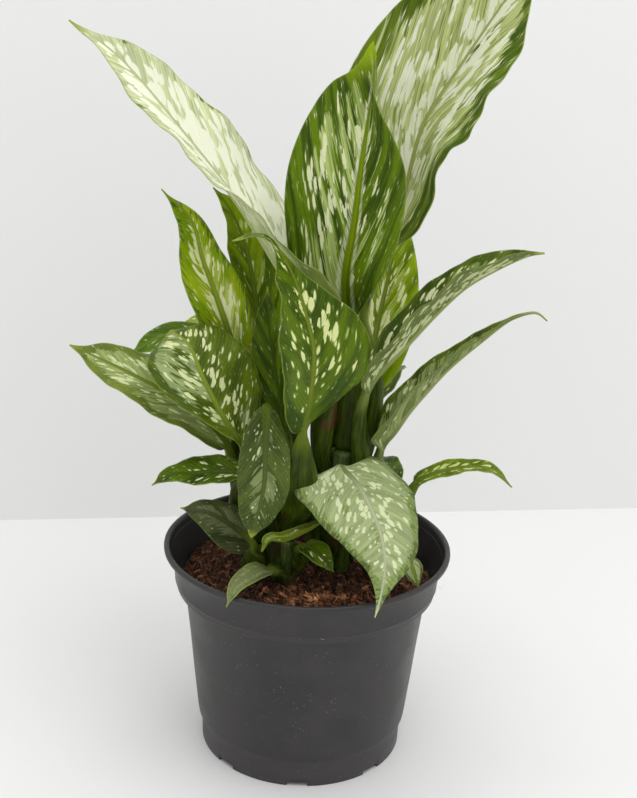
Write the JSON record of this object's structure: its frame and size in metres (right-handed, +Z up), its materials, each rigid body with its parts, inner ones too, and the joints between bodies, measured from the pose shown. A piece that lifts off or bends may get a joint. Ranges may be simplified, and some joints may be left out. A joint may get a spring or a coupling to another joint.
{
  "type": "potted dieffenbachia",
  "caption": "Leafy dieffenbachia with pale-streaked, waved leaves on short canes, rooted in coir in a round dark nursery pot that stands on its flat base.",
  "frame": {"origin": "centre of the pot's flat base, on the surface that it stands on", "axes": "+Z up along the pot's axis, +X to the plant's right and -Y to its front, as the picture looks at it"},
  "size_m": [0.2668, 0.2407, 0.4685],
  "materials": {
    "pot": "matte, near-black, slightly dusty",
    "soil": "loose damp coir fibre and chips",
    "cane": "smooth green stem with leaf-scar rings",
    "leaf": "soft satin leaf, green with cream streaks"
  },
  "bodies": {
    "root": {"pot": "pot", "soil": "soil", "cane_main": "cane", "cane_left": "cane", "cane_side": "cane", "cane_front": "cane", "cane_right": "cane", "cane_back": "cane", "leaf_spear": "leaf", "leaf_crown": "leaf", "leaf_top_left": "leaf", "leaf_front": "leaf", "leaf_left_tall": "leaf", "leaf_left_narrow": "leaf", "leaf_behind_crown": "leaf", "leaf_right_upper": "leaf", "leaf_right_middle": "leaf", "leaf_right_hanging": "leaf", "leaf_right_small": "leaf", "leaf_right_low": "leaf", "leaf_left_round": "leaf", "leaf_left_inner": "leaf", "leaf_left_curled": "leaf", "leaf_left_long": "leaf", "leaf_left_lower": "leaf", "leaf_front_hanging": "leaf", "leaf_left_low": "leaf", "leaf_front_small": "leaf", "leaf_front_rolled": "leaf", "leaf_front_curled": "leaf", "leaf_back_tall": "leaf", "leaf_back_broad": "leaf", "leaf_back_right": "leaf", "leaf_back_left": "leaf", "leaf_back_low_right": "leaf", "leaf_back_low_left": "leaf", "leaf_left_behind": "leaf", "leaf_left_back": "leaf", "leaf_right_back": "leaf"}
  },
  "joints": []
}
